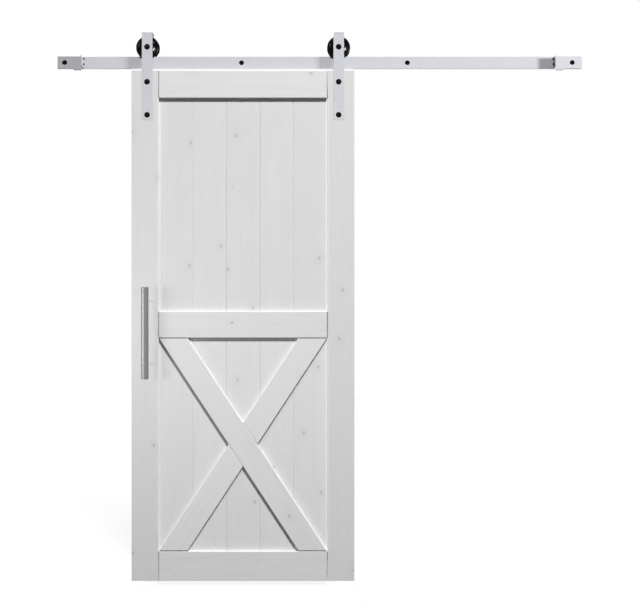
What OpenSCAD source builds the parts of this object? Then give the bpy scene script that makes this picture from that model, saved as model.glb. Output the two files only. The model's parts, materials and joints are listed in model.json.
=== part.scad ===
// Sliding barn door: a framed leaf with an X brace, hung on two strap hangers from a flat wall track.
// Millimetres. The origin is on the wall plane, halfway between the outer lag screws.
// X runs along the track, Y runs into the wall and Z runs up.

/* [Leaf] */
// Width of the leaf
leaf_w = 932; // [800:1:1100]
// Height of the leaf
leaf_h = 2134; // [1900:1:2440]
// Thickness of the stiles and rails
leaf_t = 38; // [34:0.5:44]
// Place of the leaf's middle along the track
leaf_x = -316; // [-380:1:380]
// Width of each stile
stile_w = 113; // [105:1:130]
// Height of the top rail
top_rail_h = 113; // [95:1:140]
// Height of the mid rail
mid_rail_h = 109; // [90:1:140]
// Height of the bottom rail
bottom_rail_h = 123; // [95:1:200]
// Chamfer on the long front and back edges
ease = 2.6; // [1:0.2:3]

/* [Panels and braces] */
// Thickness of the tongued boards
board_t = 12; // [10:0.5:14]
// Chamfer on each side of a joint between boards
board_v = 2.2; // [1.5:0.1:3]
// Depth of the grooves that hold the boards
groove_d = 12; // [9:0.5:14]
// Width of a brace across its grain
brace_w = 100; // [70:1:120]

/* [Track] */
// Length of the flat track
track_l = 2200; // [2190:1:2400]
// Height of the flat track
track_h = 50.8; // [45:0.2:60]
// Thickness of the flat track
track_t = 6; // [5:0.25:8]
// Place of the track's middle
track_x = 6; // [-8:1:8]
// Distance between the outer lag screws
outer_span = 2127; // [2080:1:2128]
// Distance between the inner lag screws
inner_span = 696; // [500:1:900]
// Place of the middle of the inner lag screws
inner_x = 25; // [-60:1:60]
// Diameter of the wall spacers
spacer_d = 24; // [20:1:30]
// Length of the lag screws inside the wall
lag_in_wall = 44; // [40:1:90]

/* [Hangers] */
// Width of the strap
strap_w = 44.4; // [40:0.2:52]
// Thickness of the strap
strap_t = 6; // [5:0.25:8]
// Inside radius of the two bends at the top of the strap
strap_bend = 4; // [3:0.5:8]
// Distance from the strap's middle to the edge of the leaf
strap_inset = 66; // [60:0.5:74]
// Gap between the track and the top of the leaf
leaf_gap = 11; // [8:0.5:20]
// Top of the leaf down to the upper hanger bolt
bolt_drop = 48; // [46:0.5:50]
// Distance between the two hanger bolts
bolt_pitch = 138; // [120:1:160]
// Lower hanger bolt to the end of the strap
strap_tail = 21.5; // [16:0.5:30]
// Gap between the back of the leaf and the wall
wall_gap = 14; // [12:0.5:25]

/* [Wheels] */
// Outside diameter of the wheel
wheel_d = 97; // [92:0.5:104]
// Width of the wheel
wheel_w = 24; // [22:0.5:28]
// Depth of the groove that rides on the track
wheel_groove = 12.5; // [9:0.5:14]
// Gap between the wheel and each leg of the strap
wheel_side_gap = 3; // [2:0.25:5]
// Gap between the wheel and the bend of the strap
wheel_top_gap = 8; // [7:0.5:14]

/* [Handle] */
// Diameter of the bar
bar_d = 30; // [25:0.5:36]
// Length of the bar
bar_l = 380; // [300:1:600]
// Wall of the bar's tube
bar_wall = 2; // [1.5:0.1:3]
// Gap between the bar and the leaf
bar_gap = 33; // [30:0.5:50]
// Distance between the two posts
post_pitch = 260; // [200:1:280]
// Diameter of the posts
post_d = 12; // [11:0.5:14]
// Distance from the bar's middle to the edge of the leaf
bar_inset = 65.5; // [60:0.5:66]
// Top of the leaf down to the bar's middle
bar_drop = 1096; // [1000:1:1200]

/* [End stops] */
// Thickness of the stop's sheet
stop_t = 4; // [3:0.25:5]
// Outer lag screw to the inner face of the stop
stop_reach = 82; // [75:1:95]
// Outer lag screw to the outer end of the stop
stop_tail = 30.5; // [24:0.5:30.5]
// How far the lip stands in front of the track
stop_lip = 45; // [34:0.5:55]
// Top of the lip above the track's middle, low enough to clear the wheel
lip_top = 19.5; // [17:0.5:20]
// Inner radius of the bend between the stop's plate and its lip
stop_bend = 3; // [2:0.5:5]
// How far the stop's hook hangs below the track
stop_over = 5; // [4.6:0.2:7]

/* [Fits] */
// Gap round a board in its groove
board_fit = 0.2; // [0.1:0.05:0.4]
// Gap between butted pieces of wood
wood_fit = 0.15; // [0.1:0.05:0.3]
// Radial gap round a bolt or dowel
bolt_fit = 0.3; // [0.1:0.05:0.5]
// Radial gap in the running parts of a bearing
run_fit = 0.08; // [0.05:0.01:0.1]
// Gap between the wheel and the top of the track
seat_gap = 0.3; // [0.3:0.05:0.5]

/* [Hidden] */
$fn = 64;
BOARDS = 5;
// Depths from the wall
strap_gap = wheel_w + 2 * wheel_side_gap;
leaf_back = -wall_gap;
leaf_front = leaf_back - leaf_t;
wheel_y = leaf_front + strap_gap / 2;
track_back = wheel_y + track_t / 2;
track_front = wheel_y - track_t / 2;
spacer_l = -track_back;
// Heights
track_top = track_h / 2;
wheel_r = wheel_d / 2;
roll_r = wheel_r - wheel_groove;
axle_z = track_top + roll_r + seat_gap;
leaf_top = -track_h / 2 - leaf_gap;
leaf_bottom = leaf_top - leaf_h;
bend_z = axle_z + wheel_r + wheel_top_gap - strap_bend;
// Frame of the leaf
leaf_left = leaf_x - leaf_w / 2;
leaf_right = leaf_x + leaf_w / 2;
open_left = leaf_left + stile_w;
open_right = leaf_right - stile_w;
open_w = open_right - open_left;
open_h = (leaf_h - top_rail_h - mid_rail_h - bottom_rail_h) / 2;
bottom_z = leaf_bottom;
low_z = bottom_z + bottom_rail_h;
mid_z = low_z + open_h;
high_z = mid_z + mid_rail_h;
top_z = high_z + open_h;
panel_front = leaf_front + (leaf_t - board_t) / 2;
panel_back = panel_front + board_t;
mid_y = (leaf_front + leaf_back) / 2;
// Boards
pitch = open_w / BOARDS;
tongue_l = 6;
tongue_t = board_t / 3;
board_in = groove_d - 1.5;
// Braces, laid from corner to corner of the lower opening
brace_t = panel_front - leaf_front;
brace_a = acos(brace_w / sqrt(open_w * open_w + open_h * open_h)) - atan2(open_h, open_w);
brace_cut = brace_w / cos(brace_a);
// Dowels
dowel_d = 9.5;
dowel_in = 40;
// Bolts
axle_d = 10;
bolt_d = 8;
lag_d = 8;
lag_thread_d = 7.2;
lag_tip = 8;
pull_d = 6;
barrel_d = 12;
barrel_l = 24;
flange_d = 22;
flange_t = 2.5;
// Bearing
bearing_d = 26;
bearing_w = 8;
ball_d = 4.8;
ball_pitch_r = 9;
race_in_r = 7.4;
race_out_r = 10.6;
BALLS = 8;
// Hangers, lag screws, stops and handle
hanger_x = [leaf_left + strap_inset, leaf_right - strap_inset];
hanger_bolt_z = [leaf_top - bolt_drop, leaf_top - bolt_drop - bolt_pitch];
lag_x = [-outer_span / 2, inner_x - inner_span / 2, inner_x + inner_span / 2, outer_span / 2];
button_z = [11.5, -11.5];
button_y = track_front - leaf_front + strap_t - 1;
bar_x = leaf_left + bar_inset;
bar_y = leaf_front - bar_gap - bar_d / 2;
bar_z = leaf_top - bar_drop;
post_z = [bar_z + post_pitch / 2, bar_z - post_pitch / 2];
post_in = 9;
cap_t = 3;

// Helpers
// Round bar along Y from y0 to y1
module rod(x, z, y0, y1, d) {
    translate([x, y1, z]) rotate([90, 0, 0]) cylinder(d = d, h = y1 - y0);
}

// Domed head with a hexagon socket, standing towards the front from y
module front_head(x, y, z, d, h, key) {
    ball_r = (d * d / 4 + h * h) / (2 * h);
    translate([x, y, z]) rotate([90, 0, 0]) difference() {
        intersection() {
            translate([0, 0, h - ball_r]) sphere(r = ball_r);
            cylinder(d = d, h = h);
        }
        translate([0, 0, h * 0.45]) cylinder(d = key / cos(30), h = h, $fn = 6);
    }
}

// Rectangle with its four corners cut
module eased(w, h) {
    polygon([
        [ease, 0], [w - ease, 0], [w, ease], [w, h - ease],
        [w - ease, h], [ease, h], [0, h - ease], [0, ease]
    ]);
}

// Shape drawn across the leaf in Y and Z, then pulled along X
module along_x(x0, l) {
    translate([x0, 0, 0]) rotate([90, 0, 90]) linear_extrude(height = l) children();
}

// Track and its fixings
module track() {
    color("WhiteSmoke") difference() {
        translate([track_x - track_l / 2, track_front, -track_h / 2]) cube([track_l, track_t, track_h]);
        for (x = lag_x) rod(x, 0, track_front - 1, track_back + 1, lag_d + 2 * bolt_fit);
    }
}

module wall_spacer(i) {
    color("WhiteSmoke") difference() {
        rod(lag_x[i], 0, -spacer_l, 0, spacer_d);
        rod(lag_x[i], 0, -spacer_l - 1, 1, lag_d + 2 * bolt_fit);
    }
}

module lag_screws() {
    color("Black") for (i = [0:3]) {
        seat = track_front - (i == 0 || i == 3 ? stop_t : 0);
        front_head(lag_x[i], seat, 0, 20, 6, 6);
        rod(lag_x[i], 0, seat, 0, lag_d);
        rod(lag_x[i], 0, 0, lag_in_wall - lag_tip, lag_thread_d);
        translate([lag_x[i], lag_in_wall - lag_tip, 0]) rotate([-90, 0, 0])
            cylinder(d1 = lag_thread_d, d2 = 1.5, h = lag_tip);
    }
}

// End stop drawn for the left end: one folded sheet with a plate on the track,
// a lip and a hook under the track
module stop_section() {
    r = stop_bend + stop_t;
    translate([-stop_tail, -stop_t]) square([stop_tail + stop_reach - r, stop_t]);
    translate([stop_reach - stop_t, -stop_lip]) square([stop_t, stop_lip - r]);
    intersection() {
        translate([stop_reach - r, -r]) difference() {
            circle(r = r);
            circle(r = stop_bend);
        }
        translate([stop_reach - r, -r]) square(r);
    }
}

module stop_body() {
    fit = 0.2;
    hook_l = 34;
    hook_end = 12;
    difference() {
        translate([0, track_front, 0]) union() {
            translate([0, 0, -track_h / 2]) linear_extrude(height = track_h) stop_section();
            translate([stop_reach - hook_end - hook_l, -stop_t, -track_h / 2 - stop_over])
                cube([hook_l, stop_t, stop_over + 1]);
            translate([stop_reach - hook_end - hook_l, -stop_t, -track_h / 2 - stop_over])
                cube([hook_l, stop_t + track_t, stop_over - fit]);
        }
        translate([stop_reach - stop_bend - stop_t - 4, track_front - stop_lip - 1, lip_top])
            cube([stop_reach, stop_lip + 2, track_h]);
        rod(0, 0, track_front - stop_t - 1, track_front + 1, lag_d + 2 * bolt_fit);
        for (z = button_z) stop_button_shank(z, 0.3);
    }
}

// Shank of a rubber button, pressed through the lip
module stop_button_shank(z, gap) {
    translate([stop_reach - stop_t - 1, track_front - button_y, z]) rotate([0, 90, 0])
        cylinder(d = 5 + 2 * gap, h = stop_t + 2);
}

module stop_buttons() {
    for (z = button_z) {
        stop_button_shank(z, 0);
        translate([stop_reach, track_front - button_y, z]) rotate([0, 90, 0]) cylinder(d = 10, h = 3);
        translate([stop_reach - stop_t - 1.5, track_front - button_y, z]) rotate([0, 90, 0])
            cylinder(d = 7.5, h = 1.5);
    }
}

module left_end() {
    translate([lag_x[0], 0, 0]) children();
}

module right_end() {
    translate([lag_x[3], 0, 0]) mirror([1, 0, 0]) children();
}

// Frame of the leaf
// Dowel bores of one rail, at the side of the opening given by x
module dowel_pair(x, z0, h, gap) {
    for (k = [0.27, 0.73]) translate([x - dowel_in - gap, mid_y, z0 + h * k]) rotate([0, 90, 0])
        cylinder(d = dowel_d + 2 * gap, h = 2 * (dowel_in + gap));
}

module all_dowels(gap) {
    for (x = [open_left, open_right]) {
        dowel_pair(x, top_z, top_rail_h, gap);
        dowel_pair(x, mid_z, mid_rail_h, gap);
        dowel_pair(x, bottom_z, bottom_rail_h, gap);
    }
}

module frame_dowels() {
    color("BurlyWood") all_dowels(0);
}

// Stile with a groove in its inner edge, inner = 1 on the right edge and 0 on the left edge
module stile(x0, inner) {
    cut_x = inner == 1 ? stile_w - groove_d : -1;
    difference() {
        translate([x0, leaf_front, leaf_bottom]) linear_extrude(height = leaf_h) difference() {
            eased(stile_w, leaf_t);
            translate([cut_x, panel_front - leaf_front - board_fit])
                square([groove_d + 1, board_t + 2 * board_fit]);
        }
        all_dowels(bolt_fit);
        strap = inner == 1 ? hanger_x[0] : hanger_x[1];
        for (z = hanger_bolt_z) {
            rod(strap, z, leaf_front - 1, leaf_back + 1, bolt_d + 2 * bolt_fit);
            rod(strap, z, leaf_back - barrel_l - bolt_fit, leaf_back + 1, barrel_d + 2 * bolt_fit);
        }
        if (inner == 1) for (z = post_z)
            rod(bar_x, z, leaf_front - 1, leaf_back + 1, pull_d + 2 * bolt_fit);
    }
}

module left_stile() {
    color("Gainsboro") stile(leaf_left, 1);
}

module right_stile() {
    color("Gainsboro") stile(open_right, 0);
}

// Rail between the stiles, with stub tenons and with grooves for the boards below and above it
module cross_rail(z0, h, below, above) {
    t0 = z0 + (below ? groove_d : 0);
    t1 = z0 + h - (above ? groove_d : 0);
    difference() {
        union() {
            along_x(open_left + wood_fit, open_w - 2 * wood_fit) translate([leaf_front, z0]) difference() {
                eased(leaf_t, h);
                if (below) translate([panel_front - leaf_front - board_fit, -1])
                    square([board_t + 2 * board_fit, groove_d + 1]);
                if (above) translate([panel_front - leaf_front - board_fit, h - groove_d])
                    square([board_t + 2 * board_fit, groove_d + 1]);
            }
            translate([open_left - groove_d + 1, panel_front, t0])
                cube([open_w + 2 * groove_d - 2, board_t, t1 - t0]);
        }
        all_dowels(bolt_fit);
    }
}

module top_rail() {
    color("Gainsboro") cross_rail(top_z, top_rail_h, true, false);
}

module mid_rail() {
    color("Gainsboro") cross_rail(mid_z, mid_rail_h, true, true);
}

module bottom_rail() {
    color("Gainsboro") cross_rail(bottom_z, bottom_rail_h, false, true);
}

// Tongued board number i of an opening whose lower edge is at z0
module board(i, z0) {
    first = i == 0;
    last = i == BOARDS - 1;
    x0 = first ? -board_in : wood_fit;
    x1 = last ? pitch + board_in : pitch - wood_fit;
    v0 = first ? 0 : board_v;
    v1 = last ? 0 : board_v;
    tongue_y = (board_t - tongue_t) / 2;
    translate([open_left + i * pitch, panel_front, z0 - board_in])
        linear_extrude(height = open_h + 2 * board_in) difference() {
            union() {
                polygon([
                    [x0 + v0, 0], [x1 - v1, 0], [x1, v1], [x1, board_t - v1],
                    [x1 - v1, board_t], [x0 + v0, board_t], [x0, board_t - v0], [x0, v0]
                ]);
                if (!last) translate([x1 - 1, tongue_y]) square([tongue_l + 1, tongue_t]);
            }
            if (!first) translate([x0 - 1, tongue_y - board_fit])
                square([tongue_l + 1.5 + wood_fit * 2, tongue_t + 2 * board_fit]);
        }
}

module upper_board(i) {
    color("WhiteSmoke") board(i, high_z);
}

module lower_board(i) {
    color("WhiteSmoke") board(i, low_z);
}

// Braces
// Straight brace from the upper left to the lower right corner of the lower opening
module brace_shape(grow) {
    polygon([
        [-grow, open_h], [brace_cut + grow, open_h], [open_w + grow, 0], [open_w - brace_cut - grow, 0]
    ]);
}

// Chamfer along a front edge between two points of the opening
module edge_cut(p, q) {
    l = norm(q - p);
    a = atan2(q[1] - p[1], q[0] - p[0]);
    translate([p[0], 0, p[1]]) rotate([0, -a, 0]) translate([-20, 0, 0]) rotate([45, 0, 0])
        translate([0, -ease / sqrt(2), -ease / sqrt(2)]) cube([l + 40, ease * sqrt(2), ease * sqrt(2)]);
}

module brace_edges() {
    edge_cut([0, open_h], [open_w - brace_cut, 0]);
    edge_cut([brace_cut, open_h], [open_w, 0]);
}

module brace_block() {
    rotate([90, 0, 0]) translate([0, 0, -brace_t]) linear_extrude(height = brace_t) intersection() {
        brace_shape(0);
        translate([wood_fit, wood_fit]) square([open_w - 2 * wood_fit, open_h - 2 * wood_fit]);
    }
}

module brace_frame() {
    translate([open_left, leaf_front, low_z]) children();
}

module long_brace() {
    color("Gainsboro") brace_frame() difference() {
        brace_block();
        brace_edges();
    }
}

// The other brace is cut in two by the long brace, side 1 is above it and side 0 is below it
module cut_brace(side) {
    color("Gainsboro") brace_frame() difference() {
        translate([open_w, 0, 0]) mirror([1, 0, 0]) difference() {
            brace_block();
            brace_edges();
        }
        rotate([90, 0, 0]) translate([0, 0, -brace_t - 1]) linear_extrude(height = brace_t + 2) union() {
            brace_shape(wood_fit);
            if (side == 1) polygon([
                [-5, open_h + 5], [0, open_h], [open_w - brace_cut, 0], [open_w, -5], [-5, -5]
            ]);
            else polygon([
                [open_w + 5, -5], [open_w, 0], [brace_cut, open_h], [0, open_h + 5], [open_w + 5, open_h + 5]
            ]);
        }
    }
}

module upper_brace() {
    cut_brace(1);
}

module lower_brace() {
    cut_brace(0);
}

// Hangers, s = 0 on the left and s = 1 on the right
module strap(s) {
    front_in = wheel_y - strap_gap / 2;
    back_in = wheel_y + strap_gap / 2;
    low = hanger_bolt_z[1] - strap_tail;
    color("White") difference() {
        along_x(hanger_x[s] - strap_w / 2, strap_w) union() {
            translate([front_in - strap_t, low]) square([strap_t, bend_z - low]);
            translate([back_in, axle_z - 22]) square([strap_t, bend_z - axle_z + 22]);
            translate([front_in + strap_bend, bend_z + strap_bend])
                square([strap_gap - 2 * strap_bend, strap_t]);
            for (side = [-1, 1])
                translate([wheel_y + side * (strap_gap / 2 - strap_bend), bend_z]) intersection() {
                    difference() {
                        circle(r = strap_bend + strap_t);
                        circle(r = strap_bend);
                    }
                    translate([side < 0 ? -2 * strap_gap : 0, 0]) square([2 * strap_gap, 2 * strap_gap]);
                }
        }
        rod(hanger_x[s], axle_z, front_in - strap_t - 1, back_in + strap_t + 1, axle_d + 2 * bolt_fit);
        for (z = hanger_bolt_z)
            rod(hanger_x[s], z, front_in - strap_t - 1, front_in + 1, bolt_d + 2 * bolt_fit);
    }
}

module hanger_bolts(s) {
    color("Black") for (z = hanger_bolt_z) {
        front_head(hanger_x[s], leaf_front - strap_t, z, 24, 7, 7);
        rod(hanger_x[s], z, leaf_front - strap_t, leaf_back + 1, bolt_d);
    }
}

module barrel_nuts(s) {
    color("DimGray") for (z = hanger_bolt_z) difference() {
        union() {
            rod(hanger_x[s], z, leaf_back - barrel_l, leaf_back + 1, barrel_d);
            rod(hanger_x[s], z, leaf_back, leaf_back + flange_t, flange_d);
        }
        rod(hanger_x[s], z, leaf_back - barrel_l - 1, leaf_back + flange_t + 1, bolt_d + 2 * bolt_fit);
    }
}

module axle(s) {
    front_out = wheel_y - strap_gap / 2 - strap_t;
    back_out = wheel_y + strap_gap / 2 + strap_t;
    color("Black") {
        front_head(hanger_x[s], front_out, axle_z, 24, 7, 7);
        rod(hanger_x[s], axle_z, front_out, back_out + 8.5, axle_d);
    }
}

module axle_nut(s) {
    back_out = wheel_y + strap_gap / 2 + strap_t;
    color("DimGray") difference() {
        translate([hanger_x[s], back_out, axle_z]) rotate([-90, 0, 0])
            cylinder(d = 16 / cos(30), h = 7, $fn = 6);
        rod(hanger_x[s], axle_z, back_out - 1, back_out + 8, axle_d + 2 * bolt_fit);
    }
}

module axle_sleeves(s) {
    color("DarkGray") for (y = [wheel_y - strap_gap / 2, wheel_y + bearing_w / 2]) difference() {
        rod(hanger_x[s], axle_z, y, y + (strap_gap - bearing_w) / 2, 2 * race_in_r - 0.6);
        rod(hanger_x[s], axle_z, y - 1, y + strap_gap / 2, axle_d + 2 * bolt_fit);
    }
}

// Turned part round the axle, drawn as radius and distance towards the front
module turned(s) {
    translate([hanger_x[s], wheel_y, axle_z]) rotate([90, 0, 0]) rotate_extrude() children();
}

module race_groove() {
    translate([ball_pitch_r, 0]) circle(d = ball_d + 2 * run_fit);
}

module inner_race(s) {
    color("Silver") turned(s) difference() {
        translate([axle_d / 2 + run_fit, -bearing_w / 2])
            square([race_in_r - axle_d / 2 - run_fit, bearing_w]);
        race_groove();
    }
}

module outer_race(s) {
    color("Silver") turned(s) difference() {
        translate([race_out_r, -bearing_w / 2]) square([bearing_d / 2 - race_out_r, bearing_w]);
        race_groove();
    }
}

module balls(s) {
    color("Gray") translate([hanger_x[s], wheel_y, axle_z]) rotate([90, 0, 0])
        for (k = [0:BALLS - 1]) rotate([0, 0, k * 360 / BALLS])
            translate([ball_pitch_r, 0, 0]) sphere(d = ball_d);
}

module wheel(s) {
    w = wheel_w / 2;
    hub_r = roll_r - 1.8;
    seat = bearing_d / 2 + run_fit;
    b = track_t / 2 + 1.2;
    color("Black") turned(s) polygon([
        [10.2, -w], [hub_r - 5.2, -w], [hub_r - 2.2, -w + 0.8], [hub_r, -w + 3], [roll_r + 1.2, -w + 3],
        [roll_r + 3, -w], [wheel_r - 4, -w], [wheel_r - 1.2, -w + 1.2], [wheel_r, -w + 4],
        [wheel_r, -b - 3], [roll_r, -b], [roll_r, b], [wheel_r, b + 3],
        [wheel_r, w - 4], [wheel_r - 1.2, w - 1.2], [wheel_r - 4, w], [roll_r + 3, w],
        [roll_r + 1.2, w - 3], [hub_r, w - 3], [hub_r - 2.2, w - 0.8], [hub_r - 5.2, w],
        [seat, w], [seat, -bearing_w / 2], [10.2, -bearing_w / 2]
    ]);
}

// Handle
module handle_bar() {
    color("Silver") difference() {
        translate([bar_x, bar_y, bar_z - bar_l / 2 + cap_t]) difference() {
            cylinder(d = bar_d, h = bar_l - 2 * cap_t);
            translate([0, 0, -1]) cylinder(d = bar_d - 2 * bar_wall, h = bar_l + 2);
        }
        for (z = post_z) rod(bar_x, z, bar_y, bar_y + bar_d, post_d + 2 * bolt_fit);
    }
}

// Turned cap with a plug that fits the end of the tube, drawn for the upper end
module bar_cap() {
    color("Silver") rotate_extrude() polygon([
        [0, -8], [bar_d / 2 - bar_wall - bolt_fit, -8], [bar_d / 2 - bar_wall - bolt_fit, 0],
        [bar_d / 2, 0], [bar_d / 2, cap_t - 1.2], [bar_d / 2 - 1.2, cap_t], [0, cap_t]
    ]);
}

module upper_cap() {
    translate([bar_x, bar_y, bar_z + bar_l / 2 - cap_t]) bar_cap();
}

module lower_cap() {
    translate([bar_x, bar_y, bar_z - bar_l / 2 + cap_t]) mirror([0, 0, 1]) bar_cap();
}

module post(z) {
    color("Silver") difference() {
        rod(bar_x, z, bar_y + bar_d / 2 - post_in + 0.2, leaf_front, post_d);
        rod(bar_x, z, leaf_front - 26, leaf_front + 1, pull_d + 2 * bolt_fit);
    }
}

module handle_screws() {
    color("DimGray") for (z = post_z) {
        translate([bar_x, leaf_back, z]) rotate([-90, 0, 0]) difference() {
            cylinder(d1 = 18, d2 = 14, h = 4.5);
            translate([0, 0, 2]) cylinder(d = 5 / cos(30), h = 4, $fn = 6);
        }
        rod(bar_x, z, leaf_front - 25, leaf_back + 0.5, pull_d);
    }
}

// Drawing
track();
wall_spacer(0);  // wall_spacer_1
wall_spacer(1);  // wall_spacer_2
wall_spacer(2);  // wall_spacer_3
wall_spacer(3);  // wall_spacer_4
lag_screws();
color("White") left_end() stop_body();  // left_stop
color("White") right_end() stop_body();  // right_stop
color("Black") left_end() stop_buttons();  // left_stop_buttons
color("Black") right_end() stop_buttons();  // right_stop_buttons
left_stile();
right_stile();
top_rail();
mid_rail();
bottom_rail();
frame_dowels();
upper_board(0);  // upper_board_1
upper_board(1);  // upper_board_2
upper_board(2);  // upper_board_3
upper_board(3);  // upper_board_4
upper_board(4);  // upper_board_5
lower_board(0);  // lower_board_1
lower_board(1);  // lower_board_2
lower_board(2);  // lower_board_3
lower_board(3);  // lower_board_4
lower_board(4);  // lower_board_5
long_brace();
upper_brace();
lower_brace();
strap(0);  // left_strap
hanger_bolts(0);  // left_hanger_bolts
barrel_nuts(0);  // left_barrel_nuts
axle(0);  // left_axle
axle_nut(0);  // left_axle_nut
axle_sleeves(0);  // left_axle_sleeves
inner_race(0);  // left_inner_race
wheel(0);  // left_wheel
outer_race(0);  // left_outer_race
balls(0);  // left_balls
strap(1);  // right_strap
hanger_bolts(1);  // right_hanger_bolts
barrel_nuts(1);  // right_barrel_nuts
axle(1);  // right_axle
axle_nut(1);  // right_axle_nut
axle_sleeves(1);  // right_axle_sleeves
inner_race(1);  // right_inner_race
wheel(1);  // right_wheel
outer_race(1);  // right_outer_race
balls(1);  // right_balls
handle_bar();
upper_cap();
lower_cap();
post(post_z[0]);  // upper_post
post(post_z[1]);  // lower_post
handle_screws();
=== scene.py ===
"""Sliding barn door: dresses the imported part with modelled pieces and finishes, and sets a studio stage."""
import json
import math
from contextlib import contextmanager

import bmesh
import bpy
from bpy.props import FloatProperty, FloatVectorProperty, IntProperty, PointerProperty
from mathutils import Matrix, Vector


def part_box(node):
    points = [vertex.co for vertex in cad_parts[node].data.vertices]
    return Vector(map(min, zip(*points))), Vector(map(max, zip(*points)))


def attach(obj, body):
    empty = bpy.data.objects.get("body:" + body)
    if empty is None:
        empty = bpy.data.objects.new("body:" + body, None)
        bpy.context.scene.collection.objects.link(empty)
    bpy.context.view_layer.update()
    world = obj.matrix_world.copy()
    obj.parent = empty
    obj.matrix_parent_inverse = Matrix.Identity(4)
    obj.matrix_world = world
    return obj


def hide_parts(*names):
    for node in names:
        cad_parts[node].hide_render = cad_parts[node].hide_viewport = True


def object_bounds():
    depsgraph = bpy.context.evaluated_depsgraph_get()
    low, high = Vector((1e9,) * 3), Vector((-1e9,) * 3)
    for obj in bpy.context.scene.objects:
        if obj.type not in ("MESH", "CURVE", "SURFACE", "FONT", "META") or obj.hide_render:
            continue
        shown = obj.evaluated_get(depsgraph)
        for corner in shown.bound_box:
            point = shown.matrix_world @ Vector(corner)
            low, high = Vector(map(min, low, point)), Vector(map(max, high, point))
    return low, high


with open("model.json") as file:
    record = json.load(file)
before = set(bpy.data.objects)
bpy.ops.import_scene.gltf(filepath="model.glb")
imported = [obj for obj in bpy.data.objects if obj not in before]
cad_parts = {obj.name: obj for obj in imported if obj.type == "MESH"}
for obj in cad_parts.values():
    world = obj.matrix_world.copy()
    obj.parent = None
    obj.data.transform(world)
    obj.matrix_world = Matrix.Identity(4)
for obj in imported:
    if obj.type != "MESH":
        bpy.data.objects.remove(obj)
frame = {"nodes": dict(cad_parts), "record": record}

bl_info = {
    "name": "Sliding barn door",
    "version": (1, 0, 0),
    "blender": (4, 5, 0),
    "location": "3D View > Sidebar > Barn door",
    "description": "Models the visible pieces of a sliding barn door on its packed frame and sets its stage",
    "category": "Object",
}

CAD_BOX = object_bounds()
BOARDS = 5
SIDES = ("left", "right")
WHITE = (1.0, 1.0, 1.0, 1.0)
PICTURE_WIDTH = 640.0  # pixels that the focal length is given for
GRAIN = {"frame": 1, "boards": 11, "braces": 31}  # number of the first stretch of grain in each group of wood
GOLDEN = 0.61803  # spreads the stretches of grain evenly
ALONG, ACROSS = 0.9, 0.1  # share of an axis in the direction of an edge that runs along it or across it
SIDE, FRONT, TILT = 0.12, 0.985, 0.2  # share of an axis in the normal of a side, front or rounded face

# Small sizes in metres
TOUCH = 1e-5  # places closer than this are the same place
HOOK_PLAY = 0.0002  # between the track and the hook of a stop
STRAP_BACK = 0.022  # from the axle down to the end of a strap's back leg
GROOVE_PLAY = 0.0012  # between the track and each side of a wheel's groove
RACE_FIT = 0.0001  # between the outer race and its seat in the wheel
SEAT_LIP = 0.0029  # lip of the wheel in front of the race
HUB_STEP = 0.0018  # from the tread in to the edge of the hub
WEB_DEPTH = 0.003  # depth of the ring between hub and rim
WHEEL_EDGE = 0.0007  # rounding of the wheel's edges
PLUG_LENGTH = 0.006  # part of a cap inside the handle's tube
PLUG_PLAY = 0.0003  # between that part and the tube
CAP_EDGE = 0.0012  # bevel round the end of a cap
SCREW_HOLE = 0.0033  # radius of the screw hole in a post
SCREW_DEPTH = 0.026  # depth of that hole
FLOOR_GAP = 0.02  # from the lowest point of the door to the floor


def node_box(name):
    """Lowest and highest corner of a CAD node as vectors."""
    low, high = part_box(name)
    return Vector(low), Vector(high)


def LengthProperty(name, description, default):
    """A length that can go from a quarter of its default to twice as much."""
    return FloatProperty(name=name, description=description, default=default, min=default / 4,
                         max=default * 2, unit="LENGTH")


def ColourProperty(name, description, default):
    """A colour in linear light."""
    return FloatVectorProperty(name=name, description=description, default=default, size=3, min=0.0,
                               max=1.0, subtype="COLOR")


def PowerProperty(name, description, default):
    """Power of a lamp in watts, up to four times its default."""
    return FloatProperty(name=name, description=description, default=default, min=0.0, max=default * 4,
                         unit="POWER")


class DoorSizes(bpy.types.PropertyGroup):
    """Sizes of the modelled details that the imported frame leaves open."""

    wood_edge: LengthProperty("Wood edge", "Rounding of the long edges of stiles, rails and braces", 0.0032)
    joint_edge: LengthProperty("Joint edge", "Rounding where the end of a rail meets a stile", 0.0014)
    # Painted highlight: the band of paler paint on the boards along the stiles.
    highlight_band: LengthProperty("Edge band", "Width of the thicker paint on the boards along the stiles", 0.007)
    joint_gap: LengthProperty("Joint gap", "Open joint at the end of a rail or brace", 0.0008)
    foot_gap: LengthProperty("Brace foot gap", "Dark gap under the feet of the braces", 0.0022)
    board_edge: LengthProperty("Board edge", "Chamfer on each side of the joint between two boards", 0.0024)
    brace_width: LengthProperty("Brace width", "Width of a brace across its grain", 0.1)
    steel_edge: LengthProperty("Steel edge", "Rounding of the edges of the flat steel pieces", 0.001)
    bend_steps: IntProperty(
        name="Bend steps", description="Steps round the bend of a strap", default=10, min=8, max=64)
    turn_steps: IntProperty(
        name="Turning steps", description="Steps round a turned piece", default=72, min=24, max=128)
    strap_bend: LengthProperty("Strap bend", "Inside radius of the two bends at the top of a strap", 0.004)
    stop_sheet: LengthProperty("Stop sheet", "Thickness of the sheet of the end stops", 0.004)
    stop_bend: LengthProperty("Stop bend", "Inner radius of the bend of the end stops", 0.003)
    lip_top: LengthProperty("Lip top", "Top of the stop's lip above the middle of the track", 0.0195)
    hook_length: LengthProperty("Hook length", "Length of the stop's hook along the track", 0.034)
    hook_inset: LengthProperty("Hook inset", "Distance from the stop's lip to its hook", 0.012)
    wheel_groove: LengthProperty("Wheel groove", "Depth of the groove that rides on the track", 0.0125)
    tube_wall: LengthProperty("Tube wall", "Wall of the handle's tube", 0.002)


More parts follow.
